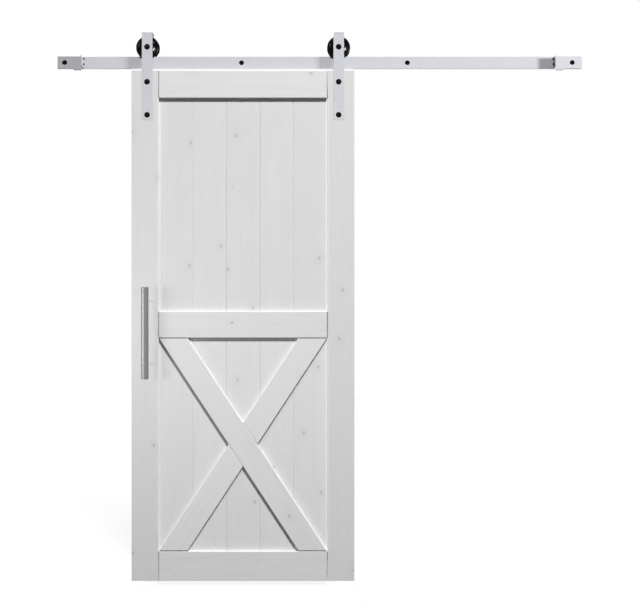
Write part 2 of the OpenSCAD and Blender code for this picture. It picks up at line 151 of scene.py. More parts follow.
class DoorColours(bpy.types.PropertyGroup):
    """Colours of the finishes, in linear light."""

    paint: ColourProperty("Paint", "White wash on the wood", (0.76, 0.76, 0.757))
    grain: ColourProperty("Grain", "Wood that shows through the wash", (0.54, 0.53, 0.51))
    knot: ColourProperty("Knot", "Knots under the wash", (0.27, 0.262, 0.25))
    # Painted highlight: paler paint on the rounded edges stands in for the light that they catch.
    edge: ColourProperty("Edge paint", "Thicker paint on rounded edges of the wood", (0.825, 0.825, 0.825))
    joint: ColourProperty("Joint", "Shade inside the joints of the frame and braces", (0.10, 0.098, 0.095))
    coat: ColourProperty("White coat", "Powder coat on the flat steel", (0.653, 0.656, 0.69))
    black: ColourProperty("Black finish", "Black oxide on the bolts", (0.006, 0.006, 0.006))
    nylon: ColourProperty("Black nylon", "Moulded wheels", (0.0005, 0.0005, 0.0005))
    stainless: ColourProperty("Stainless", "Brushed handle", (0.26, 0.257, 0.25))


class StageValues(bpy.types.PropertyGroup):
    """Camera and light of the studio stage."""

    distance: LengthProperty("Camera distance", "Camera to the front of the leaf", 3.5)
    height: FloatProperty(
        name="Camera height", description="Camera height in the part's frame",
        default=-1.0248, min=-3.0, max=1.0, unit="LENGTH")
    focal: FloatProperty(
        name="Focal length in pixels", description="Pixels per unit slope in a picture 640 wide",
        default=837.1, min=200.0, max=4000.0)
    key_power: PowerProperty("Key power", "Lamp above the door", 2620.0)
    side_power: PowerProperty("Side power", "Lamp to the right of the fittings", 3880.0)
    raking_power: PowerProperty("Raking power", "Lamp that shines along the track", 7800.0)
    strap_power: PowerProperty("Strap power", "Lamp in front of the straps", 890.0)
    stop_power: PowerProperty("Stop power", "Lamp in front of the right end stop", 340.0)
    wheel_power: PowerProperty("Wheel power", "Lamps that glint on the wheels", 5.0)
    strip_power: PowerProperty("Strip power", "Lamp to the left of the handle", 1.15)
    back_power: PowerProperty("Back power", "Lamp behind the door", 150.0)
    ambient: FloatProperty(
        name="Ambient", description="Strength of the white surroundings", default=0.075, min=0.0, max=2.0)
    bounce: FloatProperty(
        name="Floor bounce", description="How pale the floor is for the light that it sends back",
        default=0.04, min=0.0, max=1.0)


# Modelling helpers

def deselect():
    """Leaves nothing selected in object mode."""
    if bpy.context.object and bpy.context.object.mode != "OBJECT":
        bpy.ops.object.mode_set(mode="OBJECT")
    bpy.ops.object.select_all(action="DESELECT")


def activate(obj):
    """Selects one object alone and makes it active."""
    deselect()
    obj.select_set(True)
    bpy.context.view_layer.objects.active = obj


@contextmanager
def edit_mode(obj, select="EDGE"):
    """Edit mode on one object, with everything deselected at the start."""
    activate(obj)
    bpy.ops.object.mode_set(mode="EDIT")
    bpy.ops.mesh.select_mode(type=select)
    bpy.ops.mesh.select_all(action="DESELECT")
    yield
    bpy.ops.object.mode_set(mode="OBJECT")


def added(name, operator, **values):
    """Adds an object with an operator, and names it and its data."""
    deselect()
    operator(**values)
    obj = bpy.context.object
    obj.name = obj.data.name = name
    return obj


def settle(obj):
    """Moves the place, turn and scale of an object into its mesh."""
    activate(obj)
    bpy.ops.object.transform_apply(location=True, rotation=True, scale=True)
    return obj


def bevel(obj, test, width, segments=3, **values):
    """Bevels the edges whose middle and direction pass a test."""
    with edit_mode(obj):
        mesh = bmesh.from_edit_mesh(obj.data)
        count = 0
        for edge in mesh.edges:
            a, b = edge.verts[0].co, edge.verts[1].co
            chosen = bool(test((a + b) / 2, (b - a).normalized()))
            edge.select_set(chosen)
            count += chosen
        bmesh.update_edit_mesh(obj.data)
        if not count:
            raise RuntimeError("no edge was found on " + obj.name)
        bpy.ops.mesh.bevel(offset=width, segments=segments, affect="EDGES", **values)


def slice_at(obj, point, normal, **values):
    """Cuts every face along a plane."""
    with edit_mode(obj):
        bpy.ops.mesh.select_all(action="SELECT")
        bpy.ops.mesh.bisect(plane_co=point, plane_no=normal, **values)


def block(name, low, high):
    """A box between two corners, with its place in its mesh."""
    obj = added(name, bpy.ops.mesh.primitive_cube_add, size=1, location=(low + high) / 2)
    obj.scale = high - low
    return settle(obj)


def apply_modifier(obj, kind, **values):
    """Adds a modifier, sets it and applies it."""
    activate(obj)
    modifier = obj.modifiers.new(kind.title(), kind)
    for key, value in values.items():
        setattr(modifier, key, value)
    bpy.ops.object.modifier_apply(modifier=modifier.name)


def even_shading(obj, angle=40.0):
    """Smooth rounded edges between faces that stay flat."""
    activate(obj)
    bpy.ops.object.shade_smooth_by_angle(angle=math.radians(angle))
    apply_modifier(obj, "WEIGHTED_NORMAL", mode="FACE_AREA", weight=100, keep_sharp=True)


def soften(obj, width, segments=2):
    """Rounds every sharp edge."""
    apply_modifier(obj, "BEVEL", width=width, segments=segments, limit_method="ANGLE",
                   angle_limit=math.radians(30), use_clamp_overlap=True)
    even_shading(obj)


def clean(obj, reach=1e-6):
    """Joins points within reach of each other and turns the faces outwards."""
    with edit_mode(obj):
        bpy.ops.mesh.select_all(action="SELECT")
        bpy.ops.mesh.remove_doubles(threshold=reach)
        bpy.ops.mesh.normals_make_consistent(inside=False)


def folded(name, middle, rotation, section, path, steps):
    """A folded flat bar: a section pulled along straight runs and round bends (centre, axis, angle)."""
    obj = added(name, bpy.ops.mesh.primitive_plane_add, size=1, location=middle, rotation=rotation)
    obj.scale = (section[0], section[1], 1.0)
    settle(obj)
    with edit_mode(obj, "FACE"):
        bpy.ops.mesh.select_all(action="SELECT")
        for move in path:
            if len(move) == 1:
                bpy.ops.mesh.extrude_region_move(TRANSFORM_OT_translate={"value": move[0]})
            else:
                centre, axis, angle = move
                bpy.ops.mesh.spin(steps=steps, angle=angle, center=centre, axis=axis)
    clean(obj)
    return obj


def turned(name, centre, axis, profile, steps):
    """A turned piece: a profile of radius and height, drawn point by point and spun round an axis."""
    axis = Vector(axis)
    out = axis.orthogonal().normalized()
    points = [Vector(centre) + out * radius + axis * height for radius, height in profile]
    obj = settle(added(name, bpy.ops.mesh.primitive_plane_add, size=0.001, location=points[0]))
    with edit_mode(obj, "VERT"):
        bpy.ops.mesh.select_all(action="SELECT")
        bpy.ops.mesh.merge(type="CENTER")
        for start, stop in zip(points, points[1:]):
            bpy.ops.mesh.extrude_vertices_move(TRANSFORM_OT_translate={"value": stop - start})
        bpy.ops.mesh.select_all(action="SELECT")
        bpy.ops.mesh.spin(steps=steps, angle=math.tau, center=centre, axis=axis)
    clean(obj)
    return obj


def combine(obj, other, operation):
    """Cuts another piece away from a piece, or adds it, and removes the other piece."""
    apply_modifier(obj, "BOOLEAN", operation=operation, object=other, solver="EXACT")
    bpy.data.objects.remove(other, do_unlink=True)


def polished(node):
    """A copy of a CAD node with joined points and smooth curved faces."""
    mesh = frame["nodes"][node].data.copy()
    obj = bpy.data.objects.new(node + "_piece", mesh)
    mesh.name = obj.name
    bpy.context.scene.collection.objects.link(obj)
    clean(obj)
    activate(obj)
    bpy.ops.object.shade_smooth_by_angle(angle=math.radians(30))
    return obj


ON_BODY = {}  # pieces on each body


def stand_for(obj, node, material):
    """Puts a piece in the place of a CAD node, on the node's body, with a finish."""
    record = frame["record"]
    body = next(body for body, nodes in record["behaviour"]["bodies"].items() if node in nodes)
    obj.data.materials.clear()
    obj.data.materials.append(material)
    ON_BODY.setdefault(body, []).append(obj)
    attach(obj, body)
    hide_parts(node)


def dress(node, material):
    """Gives a CAD node a better finish."""
    obj = frame["nodes"][node]
    if not obj.material_slots:
        obj.data.materials.append(material)
    for slot in obj.material_slots:
        slot.material = material


def shift_grain(obj, seed):
    """Writes the attribute that gives each piece of wood its own stretch of grain."""
    value = (seed * GOLDEN) % 1.0
    layer = obj.data.attributes.new("grain_shift", "FLOAT", "POINT")
    layer.data.foreach_set("value", [value] * len(obj.data.vertices))


def paint_edges(obj, along, ends, band=None):
    """Writes the attribute that is 1 on the edges along a piece that get a painted highlight and -1 on its
    ends, in the joints, which get painted shade.
    """
    along, ends = Vector(along), Vector(ends)
    marks = []
    for face in obj.data.polygons:
        normal = face.normal
        rounded = SIDE < abs(normal.y) < FRONT and abs(normal.dot(along)) < TILT
        rounded = rounded or band is not None and band(face.center)
        # Ends in the joints get painted shade.
        end = abs(normal.dot(ends)) > TILT and abs(normal.y) ** 2 + normal.dot(ends) ** 2 > 0.99
        marks.append(-1.0 if end else float(rounded))
    layer = obj.data.attributes.new("edge_highlight_and_joint_shade", "FLOAT", "FACE")
    layer.data.foreach_set("value", marks)


# Shader node helpers

def add(tree, kind, inputs=None, **values):
    """Adds a node, sets its values and fills its inputs with numbers or links."""
    node = tree.nodes.new(kind)
    for key, value in values.items():
        setattr(node, key, value)
    for key, value in (inputs or {}).items():
        if isinstance(value, bpy.types.NodeSocket):
            tree.links.new(value, node.inputs[key])
        else:
            node.inputs[key].default_value = value
    return node


def math_node(tree, operation, a, b=0.0, clamp=False):
    """One step of arithmetic."""
    return add(tree, "ShaderNodeMath", {0: a, 1: b}, operation=operation, use_clamp=clamp).outputs[0]


def times(tree, a, b, clamp=False):
    """Product of two values."""
    return math_node(tree, "MULTIPLY", a, b, clamp)


def plus(tree, a, b):
    """Sum of two values."""
    return math_node(tree, "ADD", a, b)


def remap(tree, value, low, high, to_low=0.0, to_high=1.0, smooth=False):
    """Maps a range of values to another one."""
    node = add(tree, "ShaderNodeMapRange", {"Value": value, "From Min": low, "From Max": high,
                                            "To Min": to_low, "To Max": to_high}, clamp=True)
    if smooth:
        node.interpolation_type = "SMOOTHSTEP"
    return node.outputs["Result"]


def blend_colour(tree, factor, a, b, kind="MIX"):
    """Mixes two colours."""
    return add(tree, "ShaderNodeMix", {0: factor, 6: a, 7: b}, data_type="RGBA", blend_type=kind).outputs[2]


def grey(tree, level):
    """A level as a grey."""
    return add(tree, "ShaderNodeCombineColor", {"Red": level, "Green": level, "Blue": level}).outputs[0]


def shaded(tree, colour, level):
    """A colour times a level."""
    return blend_colour(tree, 1.0, colour, grey(tree, level), "MULTIPLY")


def stretch(tree, vector, scale, location=(0.0, 0.0, 0.0), rotation=(0.0, 0.0, 0.0)):
    """Moves, turns and stretches coordinates."""
    return add(tree, "ShaderNodeMapping", {"Vector": vector, "Scale": scale, "Location": location,
                                           "Rotation": rotation}).outputs["Vector"]


def noise(tree, vector, scale, detail=3.0, roughness=0.55, distortion=0.0):
    """Value of a noise pattern."""
    return add(tree, "ShaderNodeTexNoise", {"Vector": vector, "Scale": scale, "Detail": detail,
                                            "Roughness": roughness, "Distortion": distortion}).outputs["Fac"]


def empty_tree(owner):
    """The node tree of a material or world, with nothing in it."""
    owner.use_nodes = True
    owner.node_tree.nodes.clear()
    return owner.node_tree


def new_group(name, numbers, colours):
    """A node group from a vector, numbers and colours to a finish. Returns its tree and its input sockets."""
    tree = bpy.data.node_groups.new(name, "ShaderNodeTree")
    for way, kind, labels in (
            ("INPUT", "Vector", ("Vector",)), ("INPUT", "Float", numbers), ("INPUT", "Color", colours),
            ("OUTPUT", "Color", ("Color",)), ("OUTPUT", "Float", ("Roughness", "Height"))):
        for label in labels:
            tree.interface.new_socket(name=label, in_out=way, socket_type="NodeSocket" + kind)
    return tree, tree.nodes.new("NodeGroupInput").outputs


def washed_wood_group():
    """White wash over softwood: fibres and rings along Z, knots, a patchy coat, a painted highlight of paler
    paint on edges and painted shade in the joints.
    """
    tree, given = new_group("Washed wood", ("Shift", "Edge", "Show"),
                            ("Paint", "Grain", "Knot", "Edge Highlight", "Joint"))
    shift = add(tree, "ShaderNodeCombineXYZ", {
        axis: times(tree, given["Shift"], far) for axis, far in (("X", 7.3), ("Y", 3.1), ("Z", 11.7))})
    vector = add(tree, "ShaderNodeVectorMath", {0: given["Vector"], 1: shift.outputs[0]},
                 operation="ADD").outputs[0]
    cells = add(tree, "ShaderNodeTexVoronoi", {
        "Vector": stretch(tree, vector, (1.0, 1.0, 0.7), rotation=(math.pi / 2, 0.0, 0.0)), "Scale": 5.6,
        "Randomness": 0.95}, voronoi_dimensions="2D").outputs
    rare = remap(tree, cells["Color"], 0.44, 0.50)
    near, knots, smudge = [
        times(tree, rare, remap(tree, cells["Distance"], inner, outer, 1.0, 0.0, smooth=True))
        for inner, outer in ((0.0, 0.30), (0.014, 0.046), (0.03, 0.20))]
    broad = noise(tree, stretch(tree, vector, (1.0, 1.0, 0.10)), 7.0, 2.0, 0.5, 0.3)
    field = plus(tree, broad, times(tree, near, 0.22))
    rings = remap(tree, math_node(tree, "SINE", times(tree, field, 110.0)), 0.1, 1.0)
    fibre = noise(tree, stretch(tree, vector, (1.0, 1.0, 0.025)), 260.0, 4.0, 0.65)
    streak = remap(tree, noise(tree, stretch(tree, vector, (1.0, 1.0, 0.03)), 34.0, 3.0), 0.40, 0.72)
    wash = noise(tree, stretch(tree, vector, (1.0, 1.0, 0.6)), 5.5, 5.0, 0.6)
    show = times(tree, given["Show"], remap(tree, wash, 0.35, 0.70, 0.3, 1.3))
    body = plus(tree, times(tree, rings, 0.45), times(tree, streak, 0.40))
    body = plus(tree, body, times(tree, remap(tree, fibre, 0.45, 0.75), 0.25))
    colour = blend_colour(tree, times(tree, body, show, clamp=True), given["Paint"], given["Grain"])
    dark = plus(tree, times(tree, knots, 0.34), times(tree, smudge, 0.05))
    colour = blend_colour(tree, dark, colour, given["Knot"])
    # Painted highlight: paler paint on rounded edges and along the stiles, patchy with the wash.
    thick = times(tree, math_node(tree, "MAXIMUM", given["Edge"], 0.0),
                  remap(tree, wash, 0.35, 0.65, 1.0, 0.7))
    colour = blend_colour(tree, thick, colour, given["Edge Highlight"])
    # Painted shade: dark paint on the ends of rails and braces, in the joints.
    joint = times(tree, math_node(tree, "MINIMUM", given["Edge"], 0.0), -0.9)
    colour = blend_colour(tree, joint, colour, given["Joint"])
    tone = add(tree, "ShaderNodeTexWhiteNoise", {"W": given["Shift"]}, noise_dimensions="1D").outputs["Value"]
    level = times(tree, remap(tree, wash, 0.3, 0.7, 0.965, 1.0), remap(tree, tone, 0.0, 1.0, 0.975, 1.0))
    height = math_node(tree, "SUBTRACT", times(tree, fibre, 0.6), times(tree, rings, 0.25))
    add(tree, "NodeGroupOutput", {
        "Color": shaded(tree, colour, level), "Roughness": remap(tree, fibre, 0.3, 0.7, 0.46, 0.62),
        "Height": math_node(tree, "SUBTRACT", height, times(tree, knots, 0.5))})
    return tree


def coat_group():
    """Sprayed or plated coat: fine peel, faint mottling and uneven gloss."""
    tree, given = new_group("Sprayed coat", ("Peel", "Gloss"), ("Coat",))
    mottle = noise(tree, given["Vector"], 26.0, 4.0, 0.6)
    add(tree, "NodeGroupOutput", {
        "Color": shaded(tree, given["Coat"], remap(tree, mottle, 0.3, 0.7, 0.95, 1.0)),
        "Roughness": plus(tree, given["Gloss"], remap(tree, mottle, 0.3, 0.7, -0.05, 0.06)),
        "Height": noise(tree, given["Vector"], given["Peel"], 2.0, 0.5)})
    return tree


def brushed_group():
    """Brushed or turned metal: fine streaks along Z with uneven gloss."""
    tree, given = new_group("Brushed metal", ("Gloss",), ("Metal",))
    streak = noise(tree, stretch(tree, given["Vector"], (1.0, 1.0, 0.008)), 1400.0, 3.0, 0.7)
    patch = noise(tree, given["Vector"], 14.0, 3.0, 0.6)
    level = times(tree, remap(tree, streak, 0.3, 0.7, 0.86, 1.08), remap(tree, patch, 0.3, 0.7, 0.95, 1.0))
    add(tree, "NodeGroupOutput", {
        "Color": shaded(tree, given["Metal"], level), "Height": streak,
        "Roughness": plus(tree, given["Gloss"], remap(tree, streak, 0.3, 0.7, -0.06, 0.08))})
    return tree


def finish(name, group, inputs, bump, rotation=(0.0, 0.0, 0.0), marks=(), **constants):
    """A material whose colour, roughness and bump come from a node group in Object coordinates."""
    material = bpy.data.materials.new(name)
    tree = empty_tree(material)
    place = add(tree, "ShaderNodeTexCoord").outputs["Object"]
    vector = stretch(tree, place, (1.0, 1.0, 1.0), rotation=rotation)
    written = {
        key: add(tree, "ShaderNodeAttribute", attribute_name=label, attribute_type="GEOMETRY").outputs["Fac"]
        for key, label in marks}
    look = add(tree, "ShaderNodeGroup", {"Vector": vector, **written, **inputs}, node_tree=group).outputs
    bumps = add(tree, "ShaderNodeBump", {"Height": look["Height"], "Strength": 0.6, "Distance": bump})
    shader = add(tree, "ShaderNodeBsdfPrincipled", {
        "Base Color": look["Color"], "Roughness": look["Roughness"], "Normal": bumps.outputs["Normal"]})
    for key, value in constants.items():
        shader.inputs[key.replace("_", " ")].default_value = value
    add(tree, "ShaderNodeOutputMaterial", {"Surface": shader.outputs["BSDF"]})
    return material


def opaque(colour):
    """A colour property as a colour with alpha."""
    return (colour[0], colour[1], colour[2], 1.0)


FINISHES = {}


class FinishesOperator(bpy.types.Operator):
    """Makes the finishes that the pieces share"""

    bl_idname = "barn_door.finishes"
    bl_label = "Make finishes"

    def execute(self, context):
        colours = context.scene.barn_door_colours
        wood, coat, brushed = washed_wood_group(), coat_group(), brushed_group()
        angle = brace_angle(context)
        wood_inputs = {"Grain": opaque(colours.grain), "Knot": opaque(colours.knot),
                       "Edge Highlight": opaque(colours.edge), "Joint": opaque(colours.joint)}
        marks = (("Shift", "grain_shift"), ("Edge", "edge_highlight_and_joint_shade"))
        # Name, turn of the grain from upright, how pale the paint is, how much the grain shows. The paleness
        # is painted light: upper and lower boards, stiles, rails and braces are copies of one wash, each
        # painted paler or darker to even out how the lamps fall on them.
        for name, turn, pale, show in (
                ("upper", 0.0, 0.998, 0.16), ("lower", 0.0, 1.042, 0.16),
                ("stile", 0.0, 0.987, 0.17), ("level", -math.pi / 2, 1.037, 0.2),
                ("falling", angle, 1.075, 0.22), ("rising", -angle, 1.075, 0.22)):
            inputs = dict(wood_inputs, Paint=opaque([channel * pale for channel in colours.paint]), Show=show)
            # Rails get no painted highlight on their edges.
            if name == "level":
                inputs["Edge Highlight"] = inputs["Paint"]
            FINISHES[name] = finish("Washed wood " + name, wood, inputs, 0.0005, (0.0, turn, 0.0), marks,
                                    Specular_IOR_Level=0.3)
        bare = dict(wood_inputs, Paint=(0.60, 0.44, 0.27, 1.0), Grain=(0.42, 0.28, 0.15, 1.0), Show=0.8)
        FINISHES["dowel"] = finish("Bare dowel wood", wood, bare, 0.0003, (0.0, -math.pi / 2, 0.0))
        # Key, name, colour, peel, gloss, bump, specular level
        for key, name, colour, peel, gloss, bump, level in (
                ("white", "White powder coat", colours.coat, 620.0, 0.42, 0.00004, 0.4),
                ("black", "Black oxide", colours.black, 1500.0, 0.34, 0.00006, 0.05),
                ("nylon", "Black nylon", colours.nylon, 240.0, 0.12, 0.00002, 0.04),
                ("rubber", "Black rubber", (0.012, 0.012, 0.012), 2200.0, 0.7, 0.0001, 0.15)):
            FINISHES[key] = finish(name, coat, {"Coat": opaque(colour), "Peel": peel, "Gloss": gloss}, bump,
                                   Specular_IOR_Level=level)
        # Key, name, colour, gloss, bump
        for key, name, colour, gloss, bump in (
                ("stainless", "Brushed stainless", colours.stainless, 0.3, 0.00004),
                ("zinc", "Zinc plate", (0.46, 0.47, 0.49), 0.38, 0.00004),
                ("ground", "Ground steel", (0.50, 0.50, 0.52), 0.2, 0.00003)):
            FINISHES[key] = finish(name, brushed, {"Metal": opaque(colour), "Gloss": gloss}, bump,
                                   Metallic=1.0)
        return {"FINISHED"}


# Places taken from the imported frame

def opening():
    """Left, right, low and high limits of the lower opening in the frame of the leaf."""
    return (node_box("left_stile")[1].x, node_box("right_stile")[0].x,
            node_box("bottom_rail")[1].z, node_box("mid_rail")[0].z)


def brace_angle(context):
    """Angle of a brace from upright, so that its edges meet the corners of the lower opening."""
    left, right, low, high = opening()
    wide, tall = right - left, high - low
    width = context.scene.barn_door_sizes.brace_width
    return math.acos(width / math.hypot(wide, tall)) - math.atan2(tall, wide)


class FrameOperator(bpy.types.Operator):
    """Models the stiles and rails of the leaf with rounded edges"""

    bl_idname = "barn_door.frame"
    bl_label = "Stiles and rails"

    def round_stile(self, piece, rails, inner, sizes):
        """Rounds the long edges of a stile, and leaves the inner ones sharp where a rail meets them."""
        cuts = [((0, 0, corner.z), (0, 0, 1)) for rail in rails for corner in rail]
        cuts += [((inner + way * 1.6 * sizes.wood_edge, 0, 0), (1, 0, 0)) for way in (-1, 1)]
        for point, normal in cuts:
            slice_at(piece, point, normal)

        def loose(middle, way):
            joined = any(low.z < middle.z < high.z for low, high in rails)
            return abs(way.z) > ALONG and not (joined and abs(middle.x - inner) < TOUCH)

        bevel(piece, loose, sizes.wood_edge)

    def round_rail(self, piece, bottom, sizes):
        """Rounds the top edges of a rail, and breaks its lower edges and ends."""
        bevel(piece, lambda middle, way: abs(way.x) > ALONG and middle.z > bottom + 0.01,
              sizes.wood_edge * 0.6)
        bevel(piece, lambda middle, way: abs(way.x) < ACROSS or middle.z < bottom + 0.001,
              sizes.joint_edge, 2)

    def execute(self, context):
        sizes = context.scene.barn_door_sizes
        left, right = opening()[:2]
        rails = [node_box(name) for name in ("top_rail", "mid_rail", "bottom_rail")]
        for index, name in enumerate(("left_stile", "right_stile", "top_rail", "mid_rail", "bottom_rail")):
            start, stop = node_box(name)
            upright = name.endswith("stile")
            if not upright:
                start.x, stop.x = left + sizes.joint_gap, right - sizes.joint_gap
            piece = block(name + "_wood", start, stop)
            if upright:
                self.round_stile(piece, rails, start.x if name == "right_stile" else stop.x, sizes)
            else:
                self.round_rail(piece, start.z, sizes)
            even_shading(piece)
            shift_grain(piece, GRAIN["frame"] + index)
            paint_edges(piece, (0, 0, 1) if upright else (1, 0, 0), (0, 0, 0) if upright else (1, 0, 0))
            stand_for(piece, name, FINISHES["stile" if upright else "level"])
        dress("frame_dowels", FINISHES["dowel"])
        return {"FINISHED"}


class BoardsOperator(bpy.types.Operator):
    """Models the panel boards with a V joint between neighbours"""

    bl_idname = "barn_door.boards"
    bl_label = "Panel boards"

    def execute(self, context):
        sizes = context.scene.barn_door_sizes
        left, right = opening()[:2]
        pitch = (right - left) / BOARDS
        for row, panel in enumerate(("upper", "lower")):
            for index in range(BOARDS):
                name = "%s_board_%d" % (panel, index + 1)
                start, stop = node_box(name)
                first, last = index == 0, index == BOARDS - 1
                if not first:
                    start.x = left + index * pitch
                if not last:
                    stop.x = left + (index + 1) * pitch
                piece = block(name + "_wood", start, stop)

                def at_joint(middle, way):
                    before = not first and abs(middle.x - start.x) < TOUCH
                    after = not last and abs(middle.x - stop.x) < TOUCH
                    return (before or after) and abs(way.z) > ALONG

                bevel(piece, at_joint, sizes.board_edge, 2, profile=0.55)
                if first or last:
                    brim = left + sizes.highlight_band if first else right - sizes.highlight_band
                    slice_at(piece, (brim, 0, 0), (1, 0, 0))
                even_shading(piece, 30.0)
                shift_grain(piece, GRAIN["boards"] + row * BOARDS + index)
                # Painted highlight: paler paint on a band of the outer boards along the stiles.
                if first or last:
                    paint_edges(piece, (0, 0, 1), (0, 0, 0),
                                lambda spot: spot.x < brim if first else spot.x > brim)
                stand_for(piece, name, FINISHES[panel])
        return {"FINISHED"}


class BracesOperator(bpy.types.Operator):
    """Models the long brace and the two halves of the brace that it cuts"""

    bl_idname = "barn_door.braces"
    bl_label = "Braces"

    def execute(self, context):
        sizes = context.scene.barn_door_sizes
        left, right, low, high = opening()
        angle = brace_angle(context)
        centre = Vector(((left + right) / 2, 0.0, (low + high) / 2))
        gap = sizes.joint_gap
        across = Vector((math.cos(angle), 0.0, math.sin(angle)))
        half = across * (sizes.brace_width / 2 + gap)
        ends = (((0, 0, low + sizes.foot_gap), (0, 0, -1)), ((0, 0, high - gap), (0, 0, 1)))
        jobs = (("long_brace", -angle, ()),
                ("upper_brace", angle, ((centre + half, -across),)),
                ("lower_brace", angle, ((centre - half, across),)))
        for index, (name, turn, cuts) in enumerate(jobs):
            start, stop = node_box(name)
            middle = centre.copy()
            middle.y = (start.y + stop.y) / 2
            reach = Vector((sizes.brace_width / 2, (stop.y - start.y) / 2, (high - low) * 0.75))
            piece = block(name + "_wood", -reach, reach)
            piece.matrix_world = Matrix.Translation(middle) @ Matrix.Rotation(turn, 4, "Y")
            settle(piece)
            for point, normal in ends + cuts:
                slice_at(piece, point, normal, use_fill=True, clear_outer=True)
            clean(piece, TOUCH)
            bevel(piece, lambda spot, way: abs(spot.y - start.y) < TOUCH, sizes.wood_edge * 0.9)
            even_shading(piece)
            shift_grain(piece, GRAIN["braces"] + index)
            paint_edges(piece, (math.sin(turn), 0.0, math.cos(turn)), (0, 0, 1))
            stand_for(piece, name, FINISHES["falling" if index == 0 else "rising"])
        return {"FINISHED"}


class TrackOperator(bpy.types.Operator):
    """Models the flat track and finishes its spacers and lag screws"""

    bl_idname = "barn_door.track"
    bl_label = "Track and fixings"

    def execute(self, context):
        sizes = context.scene.barn_door_sizes
        piece = block("track_bar", *node_box("track"))
        soften(piece, sizes.steel_edge)
        stand_for(piece, "track", FINISHES["white"])
        for index in range(1, 5):
            spacer = "wall_spacer_%d" % index
            stand_for(polished(spacer), spacer, FINISHES["white"])
        stand_for(polished("lag_screws"), "lag_screws", FINISHES["black"])
        return {"FINISHED"}


class StopsOperator(bpy.types.Operator):
    """Models the end stops as folded sheets and finishes their buttons"""

    bl_idname = "barn_door.stops"
    bl_label = "End stops"

    def execute(self, context):
        sizes = context.scene.barn_door_sizes
        sheet = sizes.stop_sheet
        track_low, track_high = node_box("track")
        height = track_high.z - track_low.z
        bend = sizes.stop_bend + sheet
        for side, way in zip(SIDES, (1, -1)):
            low, high = node_box(side + "_stop")
            outer, inner = (low.x, high.x) if way > 0 else (high.x, low.x)
            face = track_low.y
            turn_x = inner - way * bend
            middle_z = (track_low.z + track_high.z) / 2
            path = (((turn_x - outer, 0, 0),), ((turn_x, face - bend, middle_z), (0, 0, way), math.pi / 2),
                    ((0, low.y - face + bend, 0),))
            piece = folded(side + "_stop_sheet", (outer, face - sheet / 2, middle_z), (0.0, math.pi / 2, 0.0),
                           (height, sheet), path, sizes.bend_steps)
            notch = sorted((turn_x - way * sheet, inner + way * sheet))
            hook = sorted((inner - way * sizes.hook_inset,
                           inner - way * (sizes.hook_inset + sizes.hook_length)))
            for name, start, stop, operation in (
                    ("notch", (notch[0], low.y - sheet, middle_z + sizes.lip_top),
                     (notch[1], face + sheet, track_high.z + sheet), "DIFFERENCE"),
                    ("hook_front", (hook[0], face - sheet, low.z),
                     (hook[1], face, track_low.z + sheet), "UNION"),
                    ("hook_floor", (hook[0], face - sheet, low.z),
                     (hook[1], high.y, track_low.z - HOOK_PLAY), "UNION")):
                combine(piece, block(name, Vector(start), Vector(stop)), operation)
            clean(piece)
            soften(piece, sizes.steel_edge * 0.5)
            stand_for(piece, side + "_stop", FINISHES["white"])
            piece.visible_diffuse = False
            buttons = side + "_stop_buttons"
            stand_for(polished(buttons), buttons, FINISHES["rubber"])
        return {"FINISHED"}


class HangersOperator(bpy.types.Operator):
    """Models the straps bent over the wheels and finishes the hangers' bolts"""

    bl_idname = "barn_door.hangers"
    bl_label = "Strap hangers"

    def execute(self, context):
        sizes = context.scene.barn_door_sizes
        front = node_box("left_stile")[0].y
        for side in SIDES:
            start, stop = node_box(side + "_strap")
            thick = front - start.y
            wheel_low, wheel_high = node_box(side + "_wheel")
            middle_x = (start.x + stop.x) / 2
            round_ = thick + sizes.strap_bend
            bend_z = stop.z - round_
            back_low = (wheel_low.z + wheel_high.z) / 2 - STRAP_BACK
            corner = Vector((middle_x, start.y + round_, bend_z))
            across = Vector((0, stop.y - start.y - 2 * round_, 0))
            path = (((0, 0, bend_z - start.z),), (corner, (1, 0, 0), math.pi / 2), (across,),
                    (corner + across, (1, 0, 0), math.pi / 2), ((0, 0, back_low - bend_z),))
            piece = folded(side + "_strap_steel", (middle_x, start.y + thick / 2, start.z), (0.0, 0.0, 0.0),
                           (stop.x - start.x, thick), path, sizes.bend_steps)
            soften(piece, sizes.steel_edge * 1.3, 3)
            stand_for(piece, side + "_strap", FINISHES["white"])
            piece.visible_diffuse = False
            for ending, look in (
                    ("_hanger_bolts", "black"), ("_axle", "black"), ("_barrel_nuts", "zinc"),
                    ("_axle_nut", "zinc"), ("_axle_sleeves", "ground"), ("_inner_race", "ground"),
                    ("_outer_race", "ground"), ("_balls", "ground")):
                stand_for(polished(side + ending), side + ending, FINISHES[look])
        return {"FINISHED"}


